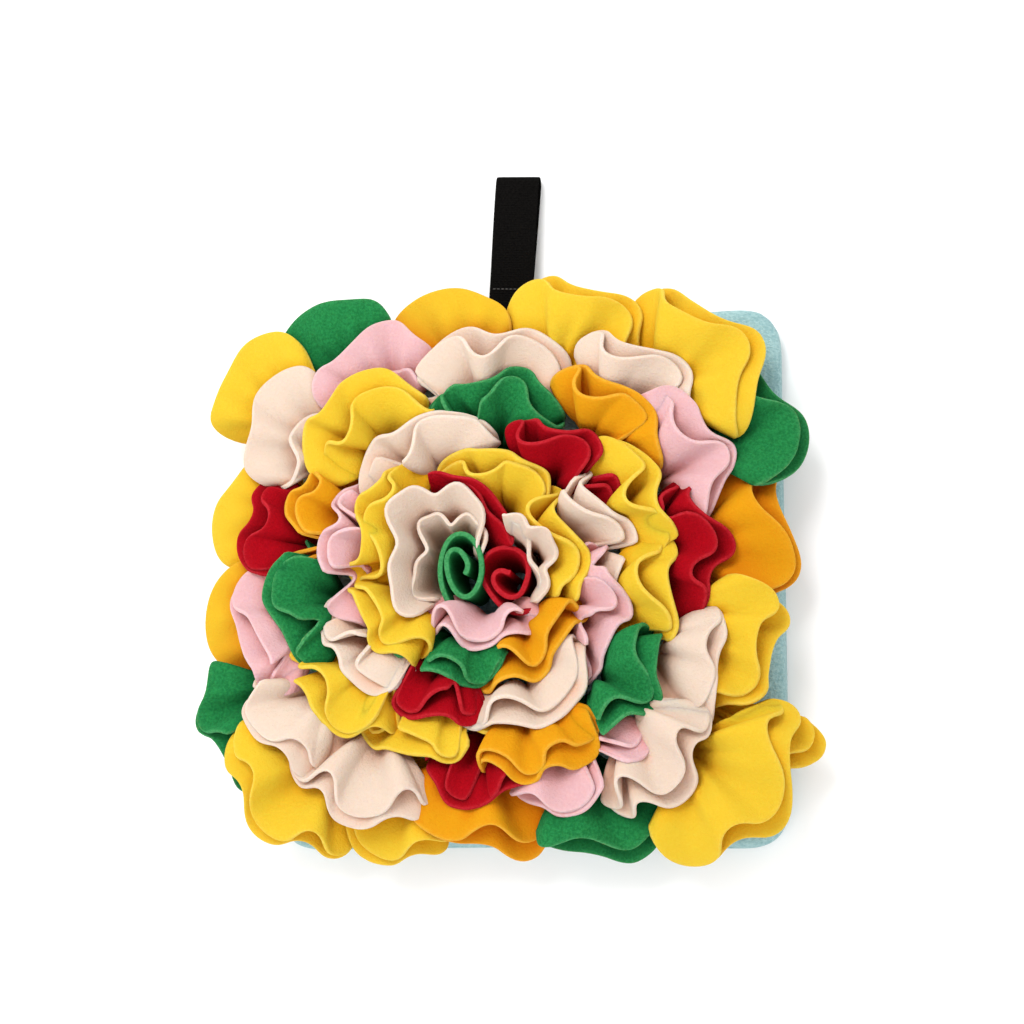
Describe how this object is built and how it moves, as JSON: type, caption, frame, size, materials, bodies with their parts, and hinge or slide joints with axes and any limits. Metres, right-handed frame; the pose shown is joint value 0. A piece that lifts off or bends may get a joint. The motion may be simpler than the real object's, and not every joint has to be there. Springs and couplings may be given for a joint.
{
  "type": "snuffle mat",
  "caption": "Square padded mat for hiding pet treats, covered with rings of gathered ruffled fleece pieces round a rosette, with a webbing hanging loop on one side.",
  "frame": {"origin": "on the flat back of the base pad, at the middle of the pad", "axes": "+Z is the mat's face, with the ruffles; +Y is its top side, where the hanging loop is; +X is its right side seen from the face"},
  "size_m": [0.3339, 0.3868, 0.0732],
  "materials": {
    "fleece_yellow": "matt brushed fleece",
    "fleece_orange": "matt brushed fleece",
    "fleece_green": "matt brushed fleece",
    "fleece_pink": "matt brushed fleece",
    "fleece_cream": "matt brushed fleece",
    "fleece_red": "matt brushed fleece",
    "base_fleece": "matt brushed fleece",
    "webbing_black": "woven, matt, ribbed across"
  },
  "bodies": {
    "root": {"base_pad": "base_fleece", "core_green_57": "fleece_green", "core_red_58": "fleece_red", "fourth_cream_16": "fleece_cream", "fourth_cream_19": "fleece_cream", "fourth_cream_20": "fleece_cream", "fourth_cream_23": "fleece_cream", "fourth_cream_26": "fleece_cream", "fourth_cream_28": "fleece_cream", "fourth_pink_17": "fleece_pink", "fourth_pink_21": "fleece_pink", "fourth_pink_24": "fleece_pink", "fourth_pink_27": "fleece_pink", "fourth_red_18": "fleece_red", "fourth_red_22": "fleece_red", "fourth_red_25": "fleece_red", "hanging_loop": "webbing_black", "heart_cream_54": "fleece_cream", "heart_cream_55": "fleece_cream", "heart_pink_56": "fleece_pink", "inner_green_51": "fleece_green", "inner_orange_50": "fleece_orange", "inner_yellow_48": "fleece_yellow", "inner_yellow_49": "fleece_yellow", "inner_yellow_52": "fleece_yellow", "inner_yellow_53": "fleece_yellow", "outer_green_02": "fleece_green", "outer_green_06": "fleece_green", "outer_green_10": "fleece_green", "outer_green_13": "fleece_green", "outer_orange_01": "fleece_orange", "outer_orange_05": "fleece_orange", "outer_orange_09": "fleece_orange", "outer_orange_12": "fleece_orange", "outer_yellow_03": "fleece_yellow", "outer_yellow_04": "fleece_yellow", "outer_yellow_07": "fleece_yellow", "outer_yellow_08": "fleece_yellow", "outer_yellow_11": "fleece_yellow", "outer_yellow_14": "fleece_yellow", "outer_yellow_15": "fleece_yellow", "second_cream_41": "fleece_cream", "second_cream_43": "fleece_cream", "second_cream_45": "fleece_cream", "second_cream_47": "fleece_cream", "second_pink_42": "fleece_pink", "second_pink_46": "fleece_pink", "second_red_40": "fleece_red", "second_red_44": "fleece_red", "third_green_32": "fleece_green", "third_green_36": "fleece_green", "third_green_39": "fleece_green", "third_orange_29": "fleece_orange", "third_orange_33": "fleece_orange", "third_orange_37": "fleece_orange", "third_yellow_30": "fleece_yellow", "third_yellow_31": "fleece_yellow", "third_yellow_34": "fleece_yellow", "third_yellow_35": "fleece_yellow", "third_yellow_38": "fleece_yellow"}
  },
  "joints": []
}
